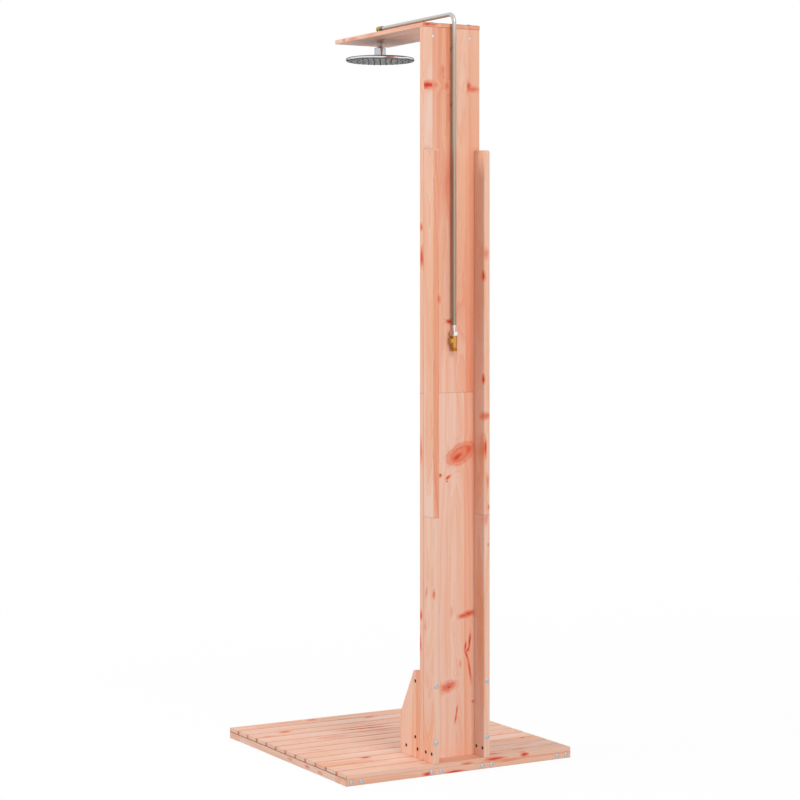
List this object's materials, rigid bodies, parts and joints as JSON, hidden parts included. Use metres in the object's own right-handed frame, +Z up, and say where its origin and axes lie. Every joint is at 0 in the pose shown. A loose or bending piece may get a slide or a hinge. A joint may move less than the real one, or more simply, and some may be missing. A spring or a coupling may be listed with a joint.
{
  "type": "outdoor shower post",
  "caption": "Free-standing timber shower post on a slatted deck, with a back board, rails, gussets, a canopy, a bent riser tube and an overhead rose on a ball joint.",
  "frame": {"origin": "centre of the deck's underside, on the floor", "axes": "+Z up; -Y is the side where the bather stands and the canopy reaches out; +X is to the bather's right when facing the board"},
  "size_m": [0.714, 0.7192, 2.077],
  "materials": {
    "timber": "planed softwood, lightly oiled, satin",
    "zinc": "bright zinc plate",
    "stainless": "satin drawn tube",
    "brass": "turned, bright",
    "chrome": "polished",
    "face": "satin face plate",
    "silicone": "matt grey moulding",
    "rubber": "matt",
    "nylon": "matt"
  },
  "bodies": {
    "post": {"front_batten": "timber", "rear_batten": "timber", "beam_1": "timber", "beam_2": "timber", "beam_3": "timber", "beam_4": "timber", "slat_01": "timber", "slat_02": "timber", "slat_03": "timber", "slat_04": "timber", "slat_05": "timber", "slat_06": "timber", "slat_07": "timber", "slat_08": "timber", "slat_09": "timber", "slat_10": "timber", "slat_11": "timber", "slat_12": "timber", "main_board_lower": "timber", "main_board_upper": "timber", "left_rail_lower": "timber", "left_rail_upper": "timber", "right_rail_lower": "timber", "right_rail_upper": "timber", "left_gusset": "timber", "right_gusset": "timber", "canopy_board": "timber", "deck_bolts": "zinc", "deck_barrel_nuts": "zinc", "cross_bolts": "zinc", "cross_barrel_nuts": "zinc", "canopy_bolts": "zinc", "canopy_barrel_nuts": "zinc", "rail_screws": "zinc", "batten_screws": "zinc", "boss_screws": "zinc", "riser_tube": "stainless", "tube_bosses": "stainless", "tube_nut": "stainless", "elbow": "brass", "valve_body": "brass", "hose_nipple": "brass", "head_stem": "chrome", "tube_adapter": "chrome", "union_nut": "chrome", "elbow_washer": "rubber", "union_seal": "rubber"},
    "valve_key": {"valve_spindle": "brass", "valve_ball": "chrome"},
    "swivel": {"ball_seat": "nylon"},
    "shower_head": {"ball_nut": "chrome", "head_shell": "chrome", "face_plate": "face", "nozzle_mat": "silicone"}
  },
  "joints": [
    {"name": "valve_turn", "type": "hinge", "parent": "post", "child": "valve_key", "pos_m": [0, 0.3165, 1.172], "axis": [1, 0, 0], "range_deg": [0, 90]},
    {"name": "head_swivel", "type": "hinge", "parent": "post", "child": "swivel", "pos_m": [0, -0.096, 2.001], "axis": [0, 0, 1], "continuous": true},
    {"name": "head_tilt", "type": "hinge", "parent": "swivel", "child": "shower_head", "pos_m": [0, -0.096, 2.001], "axis": [1, 0, 0], "range_deg": [-12, 12]}
  ]
}
